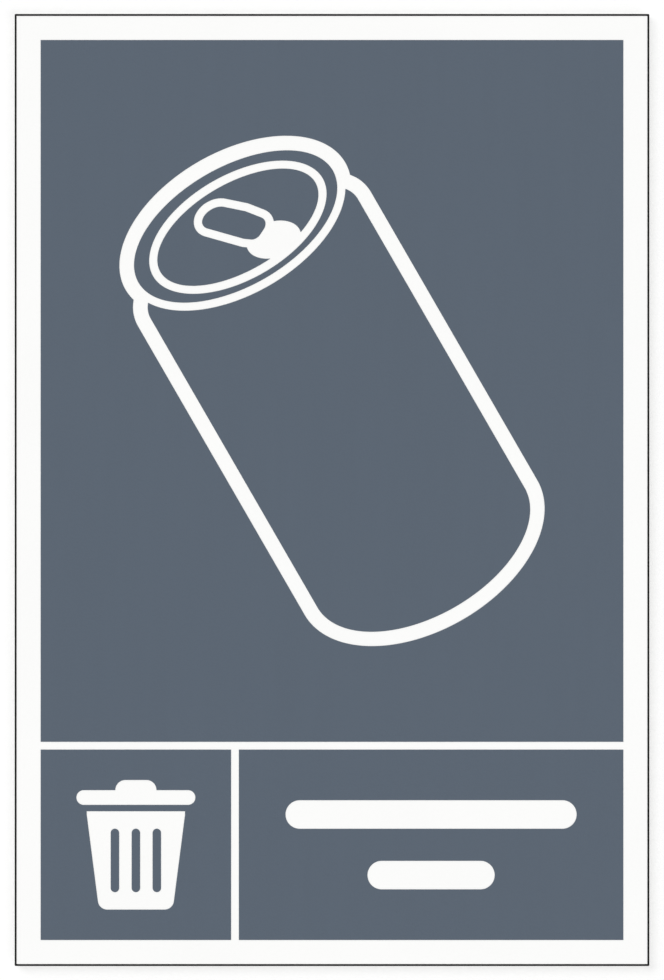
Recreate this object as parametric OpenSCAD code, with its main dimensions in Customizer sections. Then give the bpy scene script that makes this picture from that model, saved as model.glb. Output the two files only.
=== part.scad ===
// Recycling sign for drinks cans.
// A flat white board carries pieces of thin cut film. Its white border, gaps, bars and
// outlines are the bare board, which shows wherever no film lies.
// Millimetres. The sign lies on its back with the middle of that back at the origin:
// +X runs to its right, +Y to its top and +Z out of its face.

/* [Board] */
// Width of the board
board_w = 200; // [165:1:450]
// Height of the board
board_h = 300; // [250:1:675]
// Thickness of the board
board_t = 3; // [1:0.5:10]

/* [Film] */
// Thickness of the film
film_t = 0.1; // [0.05:0.05:0.3]
// Width of the thin dark line along the edge of the board
edge_line_w = 0.6; // [0.3:0.05:2]
// White border between the edge of the board and the fields
border_w = 8.2; // [3:0.1:15]
// White gap between neighbouring fields
gap_w = 2.45; // [1:0.05:6]
// Side of the square symbol field, which is also the height of the caption field
symbol_side = 60; // [50:1:75]

/* [Picture of the can] */
// Lean of the can from upright, in degrees
can_lean = 30; // [15:1:60]
// Width of the can over its outline
can_w = 84.7; // [70:0.1:102]
// Length of the can from the middle of its rim to the middle of its base curve
can_l = 117; // [90:1:140]
// Depth of the base curve over its outline, from front to back of the can
base_d = 52.4; // [30:0.1:65]
// Radius of the shoulders over the outline
shoulder_r = 12; // [6:0.1:16]
// Step in from the side of the can to the side of its rim
neck_in = 2.35; // [1:0.05:6]
// Depth of the rim over its outline
rim_d = 46.8; // [42:0.1:58]
// Width of the band between rim and lid, at the sides of the can
band_side_w = 4.5; // [2:0.05:7]
// Width of the band between rim and lid, at the front and back of the can
band_front_w = 2.3; // [1.5:0.05:3]
// Width of the bold lines
bold_w = 4.65; // [3:0.05:6]
// Width of the fine lines
fine_w = 2.65; // [1.5:0.05:3.2]
// Width of the eye of the pull tab, at its round ends
eye_w = 9.5; // [6:0.1:12]
// Depth of the eye of the pull tab, at its round ends
eye_d = 6; // [4:0.1:8]
// Width of the small ovals that fill out the side and the front corner of the eye
eye_fill_w = 4.5; // [2:0.1:6]
// Depth of the small ovals that fill out the side and the front corner of the eye
eye_fill_d = 2.8; // [1.5:0.1:4]
// Width of the drinking hole
hole_w = 17.6; // [12:0.1:22]
// Depth of the drinking hole
hole_d = 11.4; // [8:0.1:14]

/* [Picture of the bin] */
// Width of the bin at its top
bin_w = 31; // [24:0.5:38]
// Width of the bin at its base
bin_base_w = 24; // [18:0.5:30]
// Height of the bin below its lid
bin_h = 31; // [25:0.5:38]
// Radius of the corners at the base of the bin
bin_r = 3; // [1:0.1:5]
// Distance that the lid of the bin stands out past each side of it
bin_lid_out = 3.25; // [1:0.05:5]
// Gap between the bin and its lid
bin_lid_gap = 2; // [1:0.1:3]
// Width of the handle on the lid
bin_handle_w = 13; // [9:0.5:20]
// Height of the handle above the lid
bin_handle_h = 3.2; // [2:0.1:4]
// Length of the ribs down the bin
bin_rib_l = 20; // [14:0.5:24]
// Distance between the ribs
bin_rib_pitch = 6.6; // [5:0.1:8]

/* [Caption bars] */
// Distance from the sides of the field to the ends of the upper bar
upper_bar_in = 14.7; // [5:0.1:25]
// Length of the lower bar
lower_bar_l = 40.1; // [20:0.1:60]
// Height of the bars
bar_h = 9; // [4:0.1:12]
// Distance between the middles of the two bars
bar_pitch = 19.1; // [14:0.1:24]

/* [Hidden] */
$fn = 96;

board_colour = "#F7F7F5";
film_colour = "#5D6773";
line_colour = "#0C0C0D";

// The three fields
field_w = board_w - 2 * border_w;
picture_h = board_h - 2 * border_w - gap_w - symbol_side;
caption_w = field_w - symbol_side - gap_w;
picture_at = [0, board_h / 2 - border_w - picture_h / 2];
symbol_at = [(symbol_side - field_w) / 2, (symbol_side - board_h) / 2 + border_w];
caption_at = [(field_w - caption_w) / 2, symbol_at.y];

// The can is drawn upright with the middle of its rim at the origin. Inwards from the rim's
// outline come its bold line, the band, a fine ring line and the lid.
base_at = [0, -can_l];
band_at = [0, -0.15];
lid_at = [0.5, -0.7];
rim_size = [can_w - 2 * neck_in, rim_d];
band_size = rim_size - 2 * [bold_w, bold_w];
fine_edges = 2 * [fine_w, fine_w];
lid_size = band_size - fine_edges - 2 * [band_side_w, band_front_w];

// A place on the lid: the turn from its right end, and the share of the way out to its edge
function on_lid(turn, out) = lid_at + out / 2 * [lid_size.x * cos(turn), lid_size.y * sin(turn)];
eye_back = on_lid(110, 0.465);
eye_front = on_lid(-52.5, 0.213);
eye_side = on_lid(62, 0.2);
eye_corner = on_lid(-70, 0.347);
hole_at = on_lid(-67, 0.71);
hole_lean = -13;

// Leaning, the outline reaches this far from the middle of the rim, and the can is placed
// so that what it covers is centred in its field.
function reach(across, along, lean) = norm([across * cos(lean), along * sin(lean)]) / 2;
can_left = -reach(rim_size.x, rim_size.y, can_lean);
can_right = can_l * sin(can_lean) + reach(can_w, base_d, can_lean);
can_top = reach(rim_size.y, rim_size.x, can_lean);
can_bottom = -can_l * cos(can_lean) - reach(base_d, can_w, can_lean);
can_at = picture_at - [can_left + can_right, can_top + can_bottom] / 2;

// The bin, with the middle of its base at the origin and a short upright brim at its top
bin_brim_h = 1;
bin_lid_y = bin_h + bin_lid_gap + bold_w / 2;
bin_top = bin_lid_y + bold_w / 2 + bin_handle_h;
bin_at = symbol_at - [0, bin_top / 2];

// A piece of film on the face of the board, cut to the outline that follows
module film(colour) {
    color(colour) translate([0, 0, board_t]) linear_extrude(film_t) children();
}

// Rectangle about its middle
module field(middle, w, h) {
    translate(middle) square([w, h], center = true);
}

// Ellipse about its middle
module oval(size) {
    scale([1, size.y / size.x]) circle(d = size.x);
}

// Bar with round ends about its middle
module bar(l, h) {
    square([l - h, h], center = true);
    for (side = [-1, 1]) translate([side * (l - h) / 2, 0]) circle(d = h);
}

// Body of the can, drawn in by inset all round: shoulders, straight sides and curved base
module can_body_outline(inset) {
    w = can_w - 2 * inset;
    r = shoulder_r - inset;
    translate(base_at) oval([w, base_d - 2 * inset]);
    translate([-w / 2, -can_l]) square([w, can_l - shoulder_r]);
    translate([r - w / 2, -shoulder_r]) square([w - 2 * r, r]);
    for (side = [-1, 1]) translate([side * (w / 2 - r), -shoulder_r]) circle(r = r);
}

// Eye of the pull tab, grown all round: a round-ended slot that is seen at an angle, with a
// bowed side and a squared front corner
module eye_outline(grow) {
    hull() {
        for (end = [eye_back, eye_front])
            translate(end) oval([eye_w + 2 * grow, eye_d + 2 * grow]);
        for (fill = [eye_side, eye_corner])
            translate(fill) oval([eye_fill_w + 2 * grow, eye_fill_d + 2 * grow]);
    }
}

// What follows is drawn on the leaning can
module on_can() {
    translate(can_at) rotate(can_lean) children();
}

// Bin with a gap under its lid
module bin_outline() {
    hull() {
        for (side = [-1, 1]) translate([side * (bin_base_w / 2 - bin_r), bin_r]) circle(r = bin_r);
        translate([-bin_w / 2, bin_h - bin_brim_h]) square([bin_w, bin_brim_h]);
    }
    translate([0, bin_lid_y]) bar(bin_w + 2 * bin_lid_out, bold_w);
    translate([0, bin_top - bin_handle_h]) bar(bin_handle_w, 2 * bin_handle_h);
}

module sign_board() {
    color(board_colour) translate([-board_w / 2, -board_h / 2, 0]) cube([board_w, board_h, board_t]);
}

module edge_line() {
    film(line_colour) difference() {
        field([0, 0], board_w, board_h);
        field([0, 0], board_w - 2 * edge_line_w, board_h - 2 * edge_line_w);
    }
}

// Field round the can
module picture_film() {
    film(film_colour) difference() {
        field(picture_at, field_w, picture_h);
        on_can() {
            can_body_outline(0);
            oval(rim_size);
        }
    }
}

// Side of the can, up to the fine line in front of the rim
module can_body_film() {
    film(film_colour) on_can() difference() {
        can_body_outline(bold_w);
        translate(band_at) oval(band_size + fine_edges);
    }
}

// Ring between the rim and the lid
module rim_band_film() {
    film(film_colour) on_can() difference() {
        translate(band_at) oval(band_size);
        translate(lid_at) oval(lid_size + fine_edges);
    }
}

// Lid, less the pull tab and the drinking hole
module lid_film() {
    film(film_colour) on_can() difference() {
        translate(lid_at) oval(lid_size);
        eye_outline(fine_w);
        translate(hole_at) rotate(hole_lean) oval([hole_w, hole_d]);
    }
}

module tab_eye_film() {
    film(film_colour) on_can() eye_outline(0);
}

// Field round the bin
module symbol_film() {
    film(film_colour) difference() {
        field(symbol_at, symbol_side, symbol_side);
        translate(bin_at) bin_outline();
    }
}

// One rib of the bin, the given number of steps to the right of its middle
module bin_rib(steps) {
    film(film_colour) translate(bin_at + [steps * bin_rib_pitch, bin_h / 2]) rotate(90)
        bar(bin_rib_l, fine_w);
}

module bin_rib_left() bin_rib(-1);
module bin_rib_middle() bin_rib(0);
module bin_rib_right() bin_rib(1);

// Field round the two bars that stand where a caption would
module caption_film() {
    film(film_colour) difference() {
        field(caption_at, caption_w, symbol_side);
        translate(caption_at + [0, bar_pitch / 2]) bar(caption_w - 2 * upper_bar_in, bar_h);
        translate(caption_at - [0, bar_pitch / 2]) bar(lower_bar_l, bar_h);
    }
}

sign_board();
edge_line();
picture_film();
can_body_film();
rim_band_film();
lid_film();
tab_eye_film();
symbol_film();
bin_rib_left();
bin_rib_middle();
bin_rib_right();
caption_film();
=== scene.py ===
"""Recycling sign for drinks cans, lying on its back on a pale floor.

A white board of foamed PVC carries pieces of thin cut vinyl film. Its white border, gaps, bars
and outlines are the bare board, which shows wherever no film lies. Lengths are in metres.
+X runs to the sign's right, +Y to its top and +Z out of its face.
"""

import math

import bmesh
import bpy
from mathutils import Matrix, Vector


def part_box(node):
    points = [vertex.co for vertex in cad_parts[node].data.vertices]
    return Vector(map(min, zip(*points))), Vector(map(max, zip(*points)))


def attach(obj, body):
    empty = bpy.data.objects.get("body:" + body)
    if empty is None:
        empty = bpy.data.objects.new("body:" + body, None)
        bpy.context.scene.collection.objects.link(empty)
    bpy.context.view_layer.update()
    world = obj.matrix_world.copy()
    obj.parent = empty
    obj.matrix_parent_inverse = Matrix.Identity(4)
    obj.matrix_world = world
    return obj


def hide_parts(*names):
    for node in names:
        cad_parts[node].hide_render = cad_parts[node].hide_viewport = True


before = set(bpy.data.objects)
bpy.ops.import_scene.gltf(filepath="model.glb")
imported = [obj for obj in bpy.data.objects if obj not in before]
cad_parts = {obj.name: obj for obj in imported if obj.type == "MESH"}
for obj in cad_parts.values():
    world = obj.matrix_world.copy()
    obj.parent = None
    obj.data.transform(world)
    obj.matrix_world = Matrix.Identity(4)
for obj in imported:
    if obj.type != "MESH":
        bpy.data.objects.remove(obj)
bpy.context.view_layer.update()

bl_info = {
    "name": "Recycling Sign",
    "version": (1, 0, 0),
    "blender": (4, 5, 0),
    "location": "3D View > Sidebar > Sign",
    "description": "Models a flat recycling sign of film pieces on a foamed PVC board",
    "category": "Add Mesh",
}

MM = 0.001
# Lengths that differ by less than this are the same
SAME = 0.002 * MM
# Most that the straight sides of a drawn oval stray from the true curve
STRAY = 0.003 * MM
# Faces that turn by less than FLAT lie in one plane, and by more than SHARP meet in a sharp edge
FLAT = math.radians(0.2)
SHARP = math.radians(60)
# A rounding in three steps or more turns by less than this from step to step
ROUND = math.radians(32)
# Faces whose normals point up or down by less than this share are the board's sides
SIDEWAYS = 0.9

# Steps in the roundings of the board's corners, its back edge, the film and the can's shoulders
CORNER_STEPS = 4
BACK_STEPS = 3
FILM_STEPS = 2
SHOULDER_STEPS = 32

# Most of a noise pattern lies between these
NOISE_LOW = 0.3
NOISE_HIGH = 0.7

# Where the CAD puts the board and its fields
BOARD_LOW, BOARD_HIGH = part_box("sign_board")
PICTURE_LOW, PICTURE_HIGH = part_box("picture_film")
SYMBOL_LOW, SYMBOL_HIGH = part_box("symbol_film")
CAPTION_LOW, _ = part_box("caption_film")

# Middles of the band and the lid of the can, from the middle of its rim
BAND_MIDDLE = Vector((0, -0.15 * MM))
LID_MIDDLE = Vector((0.5 * MM, -0.7 * MM))

# Places on the can's lid: degrees of turn from the lid's right end, and share of the way out
EYE_ENDS = ((110, 0.465), (-52.5, 0.213))
EYE_FILLS = ((62, 0.2), (-70, 0.347))
HOLE_MIDDLE = (-67, 0.71)


def linear(hex_colour):
    """Turns an sRGB hex value into the linear colour that shaders take."""
    shares = [int(hex_colour[i:i + 2], 16) / 255 for i in (1, 3, 5)]
    return [s / 12.92 if s <= 0.04045 else ((s + 0.055) / 1.055) ** 2.4 for s in shares]


# Properties

def length(name, description, default):
    """A length that isn't negative."""
    return bpy.props.FloatProperty(name=name, description=description, default=default, min=0.0,
                                   precision=5, subtype="DISTANCE", unit="LENGTH")


def angle(name, description, degrees):
    """An angle, given in degrees."""
    return bpy.props.FloatProperty(name=name, description=description, subtype="ANGLE",
                                   default=math.radians(degrees), unit="ROTATION")


def colour(name, description, hex_colour):
    """A colour, given as an sRGB hex value."""
    return bpy.props.FloatVectorProperty(name=name, description=description, subtype="COLOR",
                                         size=3, min=0.0, max=1.0, default=linear(hex_colour))


def number(name, description, default):
    """A plain number that isn't negative."""
    return bpy.props.FloatProperty(name=name, description=description, default=default, min=0.0)


class BoardSettings(bpy.types.PropertyGroup):
    """Sizes and colours of the board and of the line round it"""
    width: length("Width", "Width of the board", BOARD_HIGH.x - BOARD_LOW.x)
    height: length("Height", "Height of the board", BOARD_HIGH.y - BOARD_LOW.y)
    thickness: length("Thickness", "Thickness of the board", BOARD_HIGH.z - BOARD_LOW.z)
    corner: length("Corner radius", "Radius of the four upright corners", 0.3 * MM)
    arris: length("Arris", "Rounding of the edge round the back", 0.15 * MM)
    line: length("Edge line", "Width of the dark line along the edge", 0.6 * MM)
    skin: colour("Board colour", "Colour of the board's skin", "#F9F9F8")
    core: colour("Core colour", "Colour of the foam that the saw lays bare", "#ECECE8")
    ink: colour("Line colour", "Colour of the line along the edge", "#060607")


class FilmSettings(bpy.types.PropertyGroup):
    """Sizes and colour of the film and its three fields"""
    thickness: length("Thickness", "Thickness of the film", PICTURE_HIGH.z - BOARD_HIGH.z)
    arris: length("Arris", "Rounding of the film's upper edge", 0.025 * MM)
    bold: length("Bold line", "Width of the bold lines", 4.65 * MM)
    fine: length("Fine line", "Width of the fine lines", 2.65 * MM)
    border: length("Border", "Bare board between its edge and the fields",
                   PICTURE_LOW.x - BOARD_LOW.x)
    gap: length("Gap", "Bare board between neighbouring fields", CAPTION_LOW.x - SYMBOL_HIGH.x)
    symbol: length("Symbol field", "Side of the square symbol field", SYMBOL_HIGH.x - SYMBOL_LOW.x)
    body: colour("Film colour", "Colour of the film", "#535E6B")


class CanSettings(bpy.types.PropertyGroup):
    """Sizes of the picture of the can"""
    lean: angle("Lean", "Lean of the can from upright", 30)
    width: length("Width", "Width of the can over its outline", 84.7 * MM)
    length: length("Length", "From the middle of the rim to the middle of the base", 117 * MM)
    base_depth: length("Base depth", "Depth of the base curve over its outline", 52.4 * MM)
    shoulder: length("Shoulder radius", "Radius of the shoulders over the outline", 12 * MM)
    neck: length("Neck", "Step in from the side of the can to the side of its rim", 2.35 * MM)
    rim_depth: length("Rim depth", "Depth of the rim over its outline", 46.8 * MM)
    band_side: length("Band at the sides", "Width of the band beside the lid", 4.5 * MM)
    band_front: length("Band at the front", "Width of the band before and behind the lid", 2.3 * MM)
    eye_width: length("Eye width", "Width of the pull tab's eye at its round ends", 9.5 * MM)
    eye_depth: length("Eye depth", "Depth of the pull tab's eye at its round ends", 6 * MM)
    fill_width: length("Fill width", "Width of the small ovals that fill out the eye", 4.5 * MM)
    fill_depth: length("Fill depth", "Depth of the small ovals that fill out the eye", 2.8 * MM)
    hole_width: length("Hole width", "Width of the drinking hole", 17.6 * MM)
    hole_depth: length("Hole depth", "Depth of the drinking hole", 11.4 * MM)
    hole_lean: angle("Hole lean", "Lean of the drinking hole across the lid", -13)


class BinSettings(bpy.types.PropertyGroup):
    """Sizes of the picture of the bin"""
    width: length("Width", "Width of the bin at its top", 31 * MM)
    base_width: length("Base width", "Width of the bin at its base", 24 * MM)
    height: length("Height", "Height of the bin below its lid", 31 * MM)
    brim: length("Brim", "Height of the upright brim", 1 * MM)
    corner: length("Corner radius", "Radius of the corners at the base", 3 * MM)
    lid_out: length("Lid overhang", "How far the lid stands out past each side", 3.25 * MM)
    lid_gap: length("Lid gap", "Gap between the bin and its lid", 2 * MM)
    handle_width: length("Handle width", "Width of the handle on the lid", 13 * MM)
    handle_height: length("Handle height", "Height of the handle above the lid", 3.2 * MM)
    rib_length: length("Rib length", "Length of the ribs down the bin", 20 * MM)
    rib_pitch: length("Rib pitch", "Distance between the ribs", 6.6 * MM)


class CaptionSettings(bpy.types.PropertyGroup):
    """Sizes of the two bars that stand where a caption would"""
    upper_in: length("Upper bar inset", "From the field's sides to the upper bar", 14.7 * MM)
    lower: length("Lower bar", "Length of the lower bar", 40.1 * MM)
    height: length("Bar height", "Height of the bars", 9 * MM)
    pitch: length("Bar pitch", "Distance between the middles of the bars", 19.1 * MM)


class StageSettings(bpy.types.PropertyGroup):
    """Floor, light and camera"""
    view: length("View height", "Height that the picture takes in at the sign's face", 308.8 * MM)
    lens: number("Lens", "Focal length of the camera in millimetres", 135)
    floor: length("Floor", "Side of the floor", 30.0)
    room: number("Room light", "Strength of the even light from all round", 0.66)
    key: number("Key light", "Strength of the soft light from the upper left", 1.05)
    fill: number("Fill light", "Strength of the soft light from the lower right", 0.65)
    tilt: angle("Tilt", "How far from straight above both soft lights stand", 48)
    spread: angle("Spread", "How wide each soft light looks from the sign", 50)


# Modelling

def leave_all():
    """Goes back to object mode with nothing selected."""
    if bpy.context.mode != "OBJECT":
        bpy.ops.object.mode_set(mode="OBJECT")
    bpy.ops.object.select_all(action="DESELECT")


def work_on(piece):
    """Makes the piece the only one selected, and the active one."""
    leave_all()
    piece.select_set(True)
    bpy.context.view_layer.objects.active = piece


def open_new(name):
    """Names the active object, leaves its place in its mesh and opens it in edit mode."""
    piece = bpy.context.object
    piece.name = piece.data.name = name
    bpy.ops.object.transform_apply(location=True, rotation=True, scale=True)
    bpy.ops.object.mode_set(mode="EDIT")
    return piece


def pick(piece, kind, wanted):
    """Selects, in edit mode, the vertices, edges or faces that pass a test."""
    bpy.ops.mesh.select_mode(type=kind)
    bpy.ops.mesh.select_all(action="DESELECT")
    mesh = bmesh.from_edit_mesh(piece.data)
    for part in {"VERT": mesh.verts, "EDGE": mesh.edges, "FACE": mesh.faces}[kind]:
        if wanted(part):
            part.select_set(True)
    mesh.select_flush_mode()
    bmesh.update_edit_mesh(piece.data)


def near(a, b):
    """Whether two lengths are the same."""
    return abs(a - b) < SAME


def put(piece, at, turn=0.0, up=0.0):
    """Turns the piece about the origin, moves it, and leaves its place in its mesh."""
    work_on(piece)
    piece.rotation_euler.z = turn
    piece.location = (at[0], at[1], up)
    bpy.ops.object.transform_apply(location=True, rotation=True, scale=True)


def add_rectangle(name, middle, width, height):
    """Adds a flat rectangle, open in edit mode."""
    leave_all()
    bpy.ops.mesh.primitive_plane_add(size=1.0, location=(*middle, 0))
    # This operator takes no notice of a scale, so the object is given one
    bpy.context.object.scale = (width, height, 1)
    return open_new(name)


def round_points(diameter):
    """Number of points that keep a circle within STRAY of true, in whole quarters."""
    return 4 * math.ceil(math.pi / 4 * math.sqrt(diameter / (4 * STRAY)))


def add_oval(name, middle, size, turn=0.0):
    """Adds a flat oval, open in edit mode."""
    leave_all()
    bpy.ops.mesh.primitive_circle_add(vertices=round_points(max(size)), radius=size[0] / 2,
                                      fill_type="NGON")
    piece = open_new(name)
    bpy.ops.transform.resize(value=(1, size[1] / size[0], 1), center_override=(0, 0, 0))
    put(piece, middle, turn)
    bpy.ops.object.mode_set(mode="EDIT")
    return piece


def raise_outline(piece, height):
    """Extrudes a flat outline upwards into a solid."""
    bpy.ops.mesh.select_mode(type="FACE")
    bpy.ops.mesh.select_all(action="SELECT")
    bpy.ops.mesh.extrude_region_move(TRANSFORM_OT_translate={"value": (0, 0, height)})
    bpy.ops.mesh.select_all(action="SELECT")
    bpy.ops.mesh.normals_make_consistent(inside=False)
    leave_all()
    return piece


def as_film(piece):
    """Gives an outline the film's thickness, upwards from z = 0."""
    return raise_outline(piece, bpy.context.scene.sign_film.thickness)


def as_cutter(piece):
    """Makes an outline a solid that reaches a film's thickness past both sides of a film."""
    depth = bpy.context.scene.sign_film.thickness
    raise_outline(piece, 3 * depth)
    put(piece, (0, 0), up=-depth)
    return piece


def wrap(name, solids):
    """Joins solids and draws one skin tight round them all."""
    work_on(solids[0])
    for solid in solids:
        solid.select_set(True)
    bpy.ops.object.join()
    piece = open_new(name)
    bpy.ops.mesh.select_all(action="SELECT")
    bpy.ops.mesh.convex_hull()
    bpy.ops.mesh.dissolve_limited(angle_limit=FLAT)
    leave_all()
    return piece


def cut(piece, *cutters):
    """Cuts the cutters' shapes out of the piece, and deletes the cutters."""
    for cutter in cutters:
        work_on(piece)
        bpy.ops.object.modifier_add(type="BOOLEAN")
        modifier = piece.modifiers[-1]
        modifier.operation = "DIFFERENCE"
        modifier.solver = "EXACT"
        modifier.object = cutter
        bpy.ops.object.modifier_apply(modifier=modifier.name)
        bpy.data.objects.remove(cutter)
    return piece


def is_upright(edge):
    """Whether an edge runs up or down."""
    return not near(edge.verts[0].co.z, edge.verts[1].co.z)


def is_sharp_at(edge, height):
    """Whether an edge is sharp and lies level at a height."""
    return edge.calc_face_angle(0) > SHARP and all(near(v.co.z, height) for v in edge.verts)


def round_edges(piece, radius, steps, wanted):
    """Rounds the edges that pass a test, in edit mode."""
    pick(piece, "EDGE", wanted)
    bpy.ops.mesh.bevel(offset=radius, offset_type="OFFSET", segments=steps, profile=0.5,
                       affect="EDGES", clamp_overlap=True)


def shade(piece):
    """Smooths curved walls and the larger roundings, and keeps the flats flat."""
    work_on(piece)
    bpy.ops.object.shade_smooth_by_angle(angle=ROUND)
    bpy.ops.object.modifier_add(type="WEIGHTED_NORMAL")
    modifier = piece.modifiers[-1]
    modifier.keep_sharp = True
    bpy.ops.object.modifier_apply(modifier=modifier.name)


def hand_over(piece, node):
    """Shows the piece instead of its CAD solid, and lets it move with the sign."""
    mesh = bmesh.new()
    mesh.from_mesh(piece.data)
    closed = all(edge.is_manifold for edge in mesh.edges) and mesh.calc_volume(signed=True) > 0
    mesh.free()
    if not closed:
        raise RuntimeError(f"{piece.name} isn't a closed solid")
    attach(piece, "root")
    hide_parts(node)


def finish_film(piece, node, material, at=(0, 0), turn=0.0):
    """Cleans a film piece, rounds its upper edge and lays it on the board in the node's stead."""
    film = bpy.context.scene.sign_film
    # Points closer together than this would leave the rounding no room
    crowded = 2 * film.arris
    work_on(piece)
    bpy.ops.object.mode_set(mode="EDIT")
    bpy.ops.mesh.select_all(action="SELECT")
    bpy.ops.mesh.remove_doubles(threshold=crowded)
    bpy.ops.mesh.dissolve_limited(angle_limit=FLAT)
    bpy.ops.mesh.select_all(action="SELECT")
    bpy.ops.mesh.normals_make_consistent(inside=False)
    round_edges(piece, film.arris, FILM_STEPS, lambda e: is_sharp_at(e, film.thickness))
    leave_all()
    put(piece, at, turn, bpy.context.scene.sign_board.thickness)
    shade(piece)
    piece.data.materials.append(material)
    hand_over(piece, node)


# Materials

def add_node(tree, kind, inputs=(), **settings):
    """Adds a node, makes its settings, and gives its sockets their values or links."""
    node = tree.nodes.new(kind)
    for name, value in settings.items():
        setattr(node, name, value)
    for socket, value in dict(inputs).items():
        if isinstance(value, bpy.types.NodeSocket):
            tree.links.new(value, node.inputs[socket])
        else:
            node.inputs[socket].default_value = value
    return node


def new_material(name):
    """Adds a material that holds only its output, and returns it with its node tree."""
    material = bpy.data.materials.new(name)
    material.use_nodes = True
    tree = material.node_tree
    tree.nodes.clear()
    return material, tree


def per_metre(mm):
    """Scale of a pattern whose features are that many millimetres apart."""
    return 1 / (mm * MM)


def shades(tree, pattern, base, spread):
    """Colour that goes from a little under the base to a little over it as the pattern goes."""
    ramp = add_node(tree, "ShaderNodeValToRGB", {"Fac": pattern})
    stops = (NOISE_LOW, NOISE_HIGH)
    for stop, share, place in zip(ramp.color_ramp.elements, (1 - spread, 1 + spread), stops):
        stop.position = place
        stop.color = (*(min(1, c * share) for c in base), 1)
    return ramp.outputs["Color"]


def surface(tree, base, roughness, normal, ior, specular):
    """Closes the tree with its shader and its output."""
    shader = add_node(tree, "ShaderNodeBsdfPrincipled", {
        "Base Color": base, "Roughness": roughness, "Normal": normal, "IOR": ior,
        "Specular IOR Level": specular})
    add_node(tree, "ShaderNodeOutputMaterial", {"Surface": shader.outputs["BSDF"]})


def seen(tree):
    """1 where a camera, glossy or transmission ray looks, and 0 for the light on a surface."""
    path = add_node(tree, "ShaderNodeLightPath").outputs
    mirrored = add_node(tree, "ShaderNodeMath", {
        0: path["Is Glossy Ray"], 1: path["Is Transmission Ray"]}, operation="ADD")
    return add_node(tree, "ShaderNodeMath", {
        0: path["Is Camera Ray"], 1: mirrored.outputs["Value"]},
        operation="ADD", use_clamp=True).outputs["Value"]


def board_skin():
    """Foamed PVC sheet, calendered skin: dense white, with an even satin eggshell sheen."""
    material, tree = new_material("Foamed PVC, calendered skin")
    place = add_node(tree, "ShaderNodeTexCoord").outputs["Object"]
    # The sheet's whiteness drifts by less than the eye can name, over a few centimetres
    drift = add_node(tree, "ShaderNodeTexNoise", {
        "Vector": place, "Scale": per_metre(35), "Detail": 2.0}).outputs["Fac"]
    # The skin's real grain is about 0.3 mm, and is drawn at 0.9 mm and deeper so that it shows
    grain = add_node(tree, "ShaderNodeTexNoise", {
        "Vector": place, "Scale": per_metre(0.9), "Detail": 2.0, "Roughness": 0.6}).outputs["Fac"]
    bump = add_node(tree, "ShaderNodeBump", {
        "Height": grain, "Strength": 0.8, "Distance": 0.06 * MM})
    gloss = add_node(tree, "ShaderNodeMapRange", {
        "Value": drift, "From Min": NOISE_LOW, "From Max": NOISE_HIGH,
        "To Min": 0.60, "To Max": 0.66})
    base = shades(tree, drift, bpy.context.scene.sign_board.skin, spread=0.006)
    surface(tree, base, gloss.outputs["Result"], bump.outputs["Normal"], ior=1.53, specular=0.15)
    return material


def board_core():
    """Foamed PVC sheet, sawn edge: a dull chalky white, peppered with cut cells."""
    material, tree = new_material("Foamed PVC, sawn edge")
    place = add_node(tree, "ShaderNodeTexCoord").outputs["Object"]
    # The cells are about 0.15 mm wide, and are drawn at 0.45 mm so that they show
    cells = add_node(tree, "ShaderNodeTexVoronoi", {
        "Vector": place, "Scale": per_metre(0.45)}).outputs["Distance"]
    # The saw's teeth leave faint upright marks about 1.2 mm apart along the edge
    stretch = add_node(tree, "ShaderNodeMapping", {"Vector": place, "Scale": (1, 1, 0.08)})
    marks = add_node(tree, "ShaderNodeTexNoise", {
        "Vector": stretch.outputs["Vector"], "Scale": per_metre(1.2), "Detail": 1.0}).outputs["Fac"]
    relief_and_pit_shade = add_node(tree, "ShaderNodeMath", {0: cells, 1: marks}, operation="ADD")
    bump = add_node(tree, "ShaderNodeBump", {
        "Height": relief_and_pit_shade.outputs["Value"], "Strength": 0.9, "Distance": 0.12 * MM})
    # Painted shade: the colour follows the relief, darker where it is low in the cells' pits and
    # the saw's grooves, and lighter on the ridges
    base = shades(tree, relief_and_pit_shade.outputs["Value"], bpy.context.scene.sign_board.core, spread=0.06)
    surface(tree, base, roughness=0.8, normal=bump.outputs["Normal"], ior=1.5, specular=0.5)
    return material


def vinyl(name, body, roughness, specular):
    """Calendered vinyl film: even colour and a soft sheen, with a fine grain and faint streaks."""
    material, tree = new_material(name)
    place = add_node(tree, "ShaderNodeTexCoord").outputs["Object"]
    # The rolls leave streaks half a centimetre wide and a few centimetres long, up the sign
    stretch = add_node(tree, "ShaderNodeMapping", {"Vector": place, "Scale": (1, 0.12, 1)})
    streaks = add_node(tree, "ShaderNodeTexNoise", {
        "Vector": stretch.outputs["Vector"], "Scale": per_metre(5), "Detail": 2.0}).outputs["Fac"]
    # The film's real grain is about 0.2 mm, and is drawn at 0.7 mm and deeper so that it shows
    grain = add_node(tree, "ShaderNodeTexNoise", {
        "Vector": place, "Scale": per_metre(0.7), "Detail": 2.0, "Roughness": 0.6}).outputs["Fac"]
    bump = add_node(tree, "ShaderNodeBump", {
        "Height": grain, "Strength": 1.0, "Distance": 0.1 * MM})
    # Along the streaks the roughness wanders by this much to either side
    wander = 0.015
    gloss = add_node(tree, "ShaderNodeMapRange", {
        "Value": streaks, "From Min": NOISE_LOW, "From Max": NOISE_HIGH,
        "To Min": roughness - wander, "To Max": roughness + wander})
    base = shades(tree, streaks, body, spread=0.01)
    surface(tree, base, gloss.outputs["Result"], bump.outputs["Normal"], ior=1.5, specular=specular)
    return material


def film_material():
    """The one material that all the grey film pieces share."""
    name = "Calendered vinyl film, satin grey"
    body = bpy.context.scene.sign_film.body
    return bpy.data.materials.get(name) or vinyl(name, body, roughness=0.55, specular=0.25)


# Places that several pieces share

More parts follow.
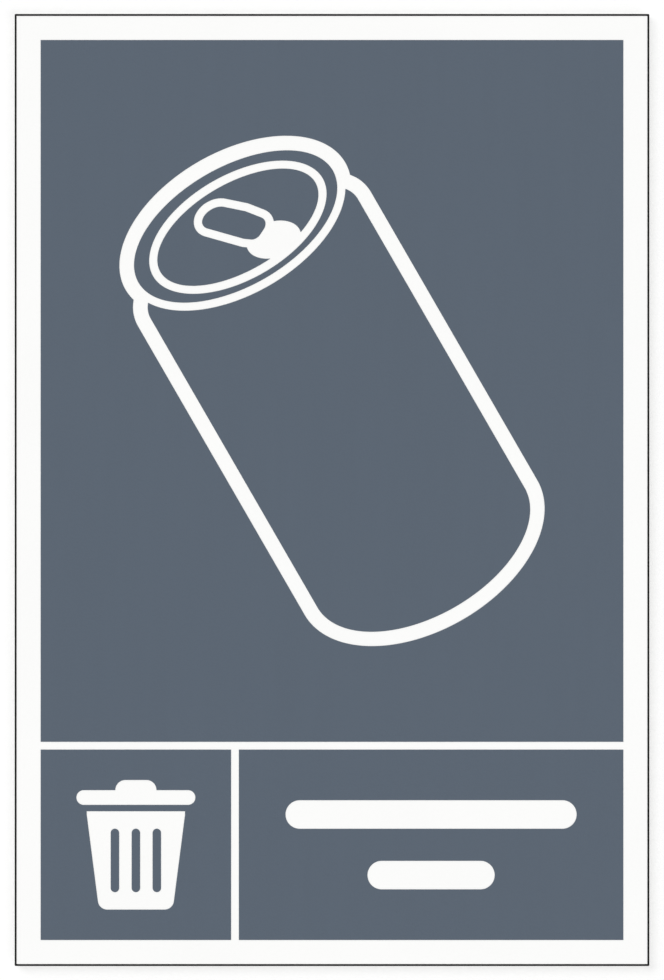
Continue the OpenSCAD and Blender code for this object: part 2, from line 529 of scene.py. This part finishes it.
def field_places():
    """Middle, width and height of the picture, symbol and caption fields."""
    board, film = bpy.context.scene.sign_board, bpy.context.scene.sign_film
    across = board.width - 2 * film.border
    up = board.height - 2 * film.border - film.gap - film.symbol
    beside = across - film.symbol - film.gap
    low = film.border + film.symbol / 2 - board.height / 2
    return {
        "picture": ((0, board.height / 2 - film.border - up / 2), across, up),
        "symbol": (((film.symbol - across) / 2, low), film.symbol, film.symbol),
        "caption": (((across - beside) / 2, low), beside, film.symbol),
    }


def can_ovals():
    """Middle and size of the rim, the band inside its bold line, and the lid.

    The can is drawn upright with the middle of its rim at the origin.
    """
    can, film = bpy.context.scene.sign_can, bpy.context.scene.sign_film
    rim = Vector((can.width - 2 * can.neck, can.rim_depth))
    band = rim - 2 * Vector((film.bold, film.bold))
    lid = band - 2 * Vector((film.fine + can.band_side, film.fine + can.band_front))
    return {
        "rim": (Vector((0, 0)), rim),
        "band": (BAND_MIDDLE, band),
        "lid": (LID_MIDDLE, lid),
    }


def on_lid(degrees, out):
    """A place on the lid: its turn from the lid's right end, and its share of the way out."""
    middle, size = can_ovals()["lid"]
    turn = math.radians(degrees)
    return middle + out / 2 * Vector((size.x * math.cos(turn), size.y * math.sin(turn)))


def can_place():
    """Where the middle of the rim goes, so that the leaning can is centred in its field."""
    can = bpy.context.scene.sign_can
    rim = can_ovals()["rim"][1]
    lean = can.lean

    def reach(across, along):
        return math.hypot(across * math.cos(lean), along * math.sin(lean)) / 2

    left = -reach(rim.x, rim.y)
    right = can.length * math.sin(lean) + reach(can.width, can.base_depth)
    top = reach(rim.y, rim.x)
    bottom = -can.length * math.cos(lean) - reach(can.base_depth, can.width)
    middle = Vector(field_places()["picture"][0])
    return middle - Vector((left + right, top + bottom)) / 2


def bin_heights():
    """Height of the middle of the bin's lid and of the top of its handle, above its base."""
    sizes, bold = bpy.context.scene.sign_bin, bpy.context.scene.sign_film.bold
    lid = sizes.height + sizes.lid_gap + bold / 2
    return lid, lid + bold / 2 + sizes.handle_height


def bin_place():
    """Where the middle of the bin's base goes."""
    return Vector(field_places()["symbol"][0]) - Vector((0, bin_heights()[1] / 2))


# Outlines

def add_can_side(name, inset):
    """Adds the flat outline of the can's side, drawn in by inset all round, open in edit mode."""
    can = bpy.context.scene.sign_can
    leave_all()
    bpy.ops.mesh.primitive_circle_add(vertices=round_points(can.width),
                                      radius=can.width / 2 - inset, fill_type="NOTHING",
                                      location=(0, -can.length, 0))
    piece = open_new(name)
    bpy.ops.mesh.select_all(action="SELECT")
    flatten = (can.base_depth - 2 * inset) / (can.width - 2 * inset)
    bpy.ops.transform.resize(value=(1, flatten, 1), center_override=(0, -can.length, 0))
    # Of the oval, only the front half is kept: the base curve
    pick(piece, "VERT", lambda v: v.co.y > SAME - can.length)
    bpy.ops.mesh.delete(type="VERT")
    # Its open ends are drawn up to the shoulders and joined across
    pick(piece, "VERT", lambda v: near(v.co.y, -can.length))
    bpy.ops.mesh.extrude_vertices_move(TRANSFORM_OT_translate={"value": (0, can.length - inset, 0)})
    bpy.ops.mesh.edge_face_add()
    bpy.ops.mesh.select_all(action="SELECT")
    bpy.ops.mesh.edge_face_add()
    pick(piece, "VERT", lambda v: near(v.co.y, -inset))
    bpy.ops.mesh.bevel(offset=can.shoulder - inset, offset_type="OFFSET", segments=SHOULDER_STEPS,
                       profile=0.5, affect="VERTICES", clamp_overlap=False)
    return piece


def add_eye(name, grow, solid):
    """Adds the pull tab's eye, grown all round: a slot seen at an angle, filled out to one side.

    Each oval is made solid as a film or as a cutter before the skin is drawn round them.
    """
    can = bpy.context.scene.sign_can
    ends, fills = (can.eye_width, can.eye_depth), (can.fill_width, can.fill_depth)
    ovals = [(place, ends) for place in EYE_ENDS] + [(place, fills) for place in EYE_FILLS]
    return wrap(name, [
        solid(add_oval(name, on_lid(*place), Vector(size) + 2 * Vector((grow, grow))))
        for place, size in ovals])


def add_bar(name, middle, width, height, solid):
    """Adds a bar with round ends, as a film or as a cutter."""
    thick = min(width, height)
    reach = Vector((width - thick, height - thick)) / 2
    return wrap(name, [
        solid(add_oval(name, Vector(middle) + side * reach, (thick, thick)))
        for side in (-1, 1)])


def bin_cutters():
    """Adds the bin's body, the lid above it and the lid's handle, as cutters."""
    sizes, bold = bpy.context.scene.sign_bin, bpy.context.scene.sign_film.bold
    lid_at, top = bin_heights()
    base = add_bar("base", (0, sizes.corner), sizes.base_width, 2 * sizes.corner, as_cutter)
    brim_at = (0, sizes.height - sizes.brim / 2)
    brim = as_cutter(add_rectangle("brim", brim_at, sizes.width, sizes.brim))
    handle_at = (0, top - sizes.handle_height)
    return (
        wrap("body", [base, brim]),
        add_bar("lid", (0, lid_at), sizes.width + 2 * sizes.lid_out, bold, as_cutter),
        add_bar("handle", handle_at, sizes.handle_width, 2 * sizes.handle_height, as_cutter),
    )


# Operators

class SignOperator:
    """What the sign's operators share."""
    bl_options = {"REGISTER", "UNDO"}


class SIGN_OT_stage(SignOperator, bpy.types.Operator):
    """Adds the pale floor, the soft light and the camera"""
    bl_idname = "sign.stage"
    bl_label = "Stage"

    def execute(self, context):
        stage = context.scene.sign_stage
        face = context.scene.sign_board.thickness + context.scene.sign_film.thickness
        self.add_camera(context, stage, face)
        self.add_floor(stage)
        self.light(context, stage)
        context.scene.view_settings.view_transform = "Standard"
        return {"FINISHED"}

    def add_camera(self, context, stage, face):
        """Looks straight down on the sign, with its top upwards, from far off."""
        leave_all()
        bpy.ops.object.camera_add(rotation=(0, 0, 0))
        camera = context.object
        camera.name = "camera"
        camera.data.lens = stage.lens
        # The sensor's width lies along the picture's long side, which is its height
        away = stage.view / camera.data.sensor_width * camera.data.lens
        camera.location = (0, 0, face + away)
        # Any view of the sign and its floor lies within this range
        camera.data.clip_start = away / 100
        camera.data.clip_end = away * 100
        context.scene.camera = camera

    def add_floor(self, stage):
        """Lays out a floor that reaches past every view's horizon."""
        leave_all()
        bpy.ops.mesh.primitive_plane_add(size=stage.floor)
        floor = bpy.context.object
        floor.name = floor.data.name = "floor"
        material, tree = new_material("Pale studio floor")
        # Lit evenly, the floor shows white, and a shadow on it still shows
        paint = 0.8
        glow = add_node(tree, "ShaderNodeMath", {0: seen(tree), 1: 1 - paint}, operation="MULTIPLY")
        shader = add_node(tree, "ShaderNodeBsdfPrincipled", {
            "Base Color": (paint, paint, paint, 1), "Roughness": 1.0, "Specular IOR Level": 0.0,
            "Emission Color": (1, 1, 1, 1), "Emission Strength": glow.outputs["Value"]})
        add_node(tree, "ShaderNodeOutputMaterial", {"Surface": shader.outputs["BSDF"]})
        floor.data.materials.append(material)

    def light(self, context, stage):
        """Lights the sign evenly from all round, and softly from its upper left and lower right."""
        world = bpy.data.worlds.new("Studio")
        context.scene.world = world
        world.use_nodes = True
        tree = world.node_tree
        tree.nodes.clear()
        # Seen or mirrored, the room is white, and it lights the sign at its own level
        level = add_node(tree, "ShaderNodeMapRange", {
            "Value": seen(tree), "To Min": stage.room, "To Max": 1.0})
        back = add_node(tree, "ShaderNodeBackground", {"Strength": level.outputs["Result"]})
        back.inputs["Color"].default_value = (1, 1, 1, 1)
        add_node(tree, "ShaderNodeOutputWorld", {"Surface": back.outputs["Background"]})
        # Name, strength, and degrees from +X at which each stands: upper left and lower right
        lamps = (("key_light", stage.key, 135), ("fill_light", stage.fill, -45))
        for name, strength, turn in lamps:
            leave_all()
            bpy.ops.object.light_add(type="SUN", rotation=(0, stage.tilt, math.radians(turn)))
            lamp = context.object
            lamp.name = lamp.data.name = name
            lamp.data.energy = strength
            lamp.data.angle = stage.spread


class SIGN_OT_board(SignOperator, bpy.types.Operator):
    """Models the board"""
    bl_idname = "sign.board"
    bl_label = "Board"

    def execute(self, context):
        board = context.scene.sign_board
        leave_all()
        bpy.ops.mesh.primitive_cube_add(size=1.0, location=(0, 0, board.thickness / 2),
                                        scale=(board.width, board.height, board.thickness))
        piece = open_new("foam_board")
        # Upright corners first, then the edge round the back. The edge in front stays sharp under
        # the black line
        round_edges(piece, board.corner, CORNER_STEPS, is_upright)
        round_edges(piece, board.arris, BACK_STEPS, lambda e: is_sharp_at(e, 0))
        leave_all()
        shade(piece)
        piece.data.materials.append(board_skin())
        piece.data.materials.append(board_core())
        bpy.ops.object.mode_set(mode="EDIT")
        pick(piece, "FACE", lambda f: abs(f.normal.z) < SIDEWAYS)
        piece.active_material_index = 1
        bpy.ops.object.material_slot_assign()
        leave_all()
        hand_over(piece, "sign_board")
        return {"FINISHED"}


class SIGN_OT_edge_line(SignOperator, bpy.types.Operator):
    """Models the dark line along the edge of the board"""
    bl_idname = "sign.edge_line"
    bl_label = "Edge line"

    def execute(self, context):
        board = context.scene.sign_board
        piece = add_rectangle("edge_line_film", (0, 0), board.width, board.height)
        as_film(piece)
        work_on(piece)
        bpy.ops.object.mode_set(mode="EDIT")
        round_edges(piece, board.corner, CORNER_STEPS, is_upright)
        leave_all()
        inside = add_rectangle("inside", (0, 0), board.width - 2 * board.line,
                               board.height - 2 * board.line)
        cut(piece, as_cutter(inside))
        name = "Calendered vinyl film, satin black"
        ink = vinyl(name, board.ink, roughness=0.55, specular=0.1)
        finish_film(piece, "edge_line", ink)
        return {"FINISHED"}


class SIGN_OT_picture_field(SignOperator, bpy.types.Operator):
    """Models the field round the can"""
    bl_idname = "sign.picture_field"
    bl_label = "Picture field"

    def execute(self, context):
        can = context.scene.sign_can
        piece = as_film(add_rectangle("picture_field", *field_places()["picture"]))
        side = as_cutter(add_can_side("side", 0))
        rim = as_cutter(add_oval("rim", *can_ovals()["rim"]))
        for cutter in (side, rim):
            put(cutter, can_place(), can.lean)
        cut(piece, side, rim)
        finish_film(piece, "picture_film", film_material())
        return {"FINISHED"}


class SIGN_OT_can(SignOperator, bpy.types.Operator):
    """Models the pieces of film that make up the can"""
    bl_idname = "sign.can"
    bl_label = "Can"

    def execute(self, context):
        can, film = context.scene.sign_can, context.scene.sign_film
        ovals = can_ovals()
        fine_edges = 2 * Vector((film.fine, film.fine))
        band_at, band = ovals["band"]
        lid_at, lid = ovals["lid"]

        side = as_film(add_can_side("can_side", film.bold))
        cut(side, as_cutter(add_oval("band", band_at, band + fine_edges)))

        ring = as_film(add_oval("can_rim_band", band_at, band))
        cut(ring, as_cutter(add_oval("lid", lid_at, lid + fine_edges)))

        top = as_film(add_oval("can_lid", lid_at, lid))
        hole_size = (can.hole_width, can.hole_depth)
        hole = add_oval("hole", on_lid(*HOLE_MIDDLE), hole_size, turn=can.hole_lean)
        cut(top, as_cutter(hole), add_eye("tab", film.fine, as_cutter))

        eye = add_eye("can_tab_eye", 0, as_film)

        nodes = {side: "can_body_film", ring: "rim_band_film", top: "lid_film", eye: "tab_eye_film"}
        for piece, node in nodes.items():
            finish_film(piece, node, film_material(), can_place(), can.lean)
        return {"FINISHED"}


class SIGN_OT_symbol_field(SignOperator, bpy.types.Operator):
    """Models the field round the bin"""
    bl_idname = "sign.symbol_field"
    bl_label = "Symbol field"

    def execute(self, context):
        piece = as_film(add_rectangle("symbol_field", *field_places()["symbol"]))
        for cutter in bin_cutters():
            put(cutter, bin_place())
            cut(piece, cutter)
        finish_film(piece, "symbol_film", film_material())
        return {"FINISHED"}


class SIGN_OT_bin_ribs(SignOperator, bpy.types.Operator):
    """Models one rib of the bin and copies it across"""
    bl_idname = "sign.bin_ribs"
    bl_label = "Bin ribs"

    def execute(self, context):
        sizes, fine = context.scene.sign_bin, context.scene.sign_film.fine
        middle = bin_place() + Vector((0, sizes.height / 2))
        first = add_bar("bin_rib_film_left", (0, 0), fine, sizes.rib_length, as_film)
        ribs = [first]
        for name in ("bin_rib_film_middle", "bin_rib_film_right"):
            work_on(first)
            bpy.ops.object.duplicate(linked=False)
            context.object.name = context.object.data.name = name
            ribs.append(context.object)
        nodes = ("bin_rib_left", "bin_rib_middle", "bin_rib_right")
        for step, (rib, node) in enumerate(zip(ribs, nodes), -1):
            at = middle + Vector((step * sizes.rib_pitch, 0))
            finish_film(rib, node, film_material(), at)
        return {"FINISHED"}


class SIGN_OT_caption_field(SignOperator, bpy.types.Operator):
    """Models the field round the two bars"""
    bl_idname = "sign.caption_field"
    bl_label = "Caption field"

    def execute(self, context):
        caption = context.scene.sign_caption
        middle, width, height = field_places()["caption"]
        piece = as_film(add_rectangle("caption_field", middle, width, height))
        for side, bar in ((1, width - 2 * caption.upper_in), (-1, caption.lower)):
            at = (middle[0], middle[1] + side * caption.pitch / 2)
            cut(piece, add_bar("bar", at, bar, caption.height, as_cutter))
        finish_film(piece, "caption_film", film_material())
        return {"FINISHED"}


# In the order that they are called
OPERATORS = (SIGN_OT_stage, SIGN_OT_board, SIGN_OT_edge_line, SIGN_OT_picture_field, SIGN_OT_can,
             SIGN_OT_symbol_field, SIGN_OT_bin_ribs, SIGN_OT_caption_field)
SETTINGS = {
    "sign_board": BoardSettings,
    "sign_film": FilmSettings,
    "sign_can": CanSettings,
    "sign_bin": BinSettings,
    "sign_caption": CaptionSettings,
    "sign_stage": StageSettings,
}


class SIGN_PT_panel(bpy.types.Panel):
    """Lists the sign's settings and operators"""
    bl_idname = "SIGN_PT_panel"
    bl_label = "Recycling Sign"
    bl_space_type = "VIEW_3D"
    bl_region_type = "UI"
    bl_category = "Sign"

    def draw(self, context):
        layout = self.layout
        for operator in OPERATORS:
            layout.operator(operator.bl_idname)
        for name, group in SETTINGS.items():
            column = layout.column(heading=group.__doc__)
            for prop in group.__annotations__:
                column.prop(getattr(context.scene, name), prop)


def register():
    for group in (*SETTINGS.values(), *OPERATORS, SIGN_PT_panel):
        bpy.utils.register_class(group)
    for name, group in SETTINGS.items():
        setattr(bpy.types.Scene, name, bpy.props.PointerProperty(type=group))


def unregister():
    for name in SETTINGS:
        delattr(bpy.types.Scene, name)
    for group in reversed((*SETTINGS.values(), *OPERATORS, SIGN_PT_panel)):
        bpy.utils.unregister_class(group)


def main():
    register()
    for operator in OPERATORS:
        name = operator.bl_idname.split(".")[1]
        getattr(bpy.ops.sign, name)()


if __name__ == "__main__":
    main()
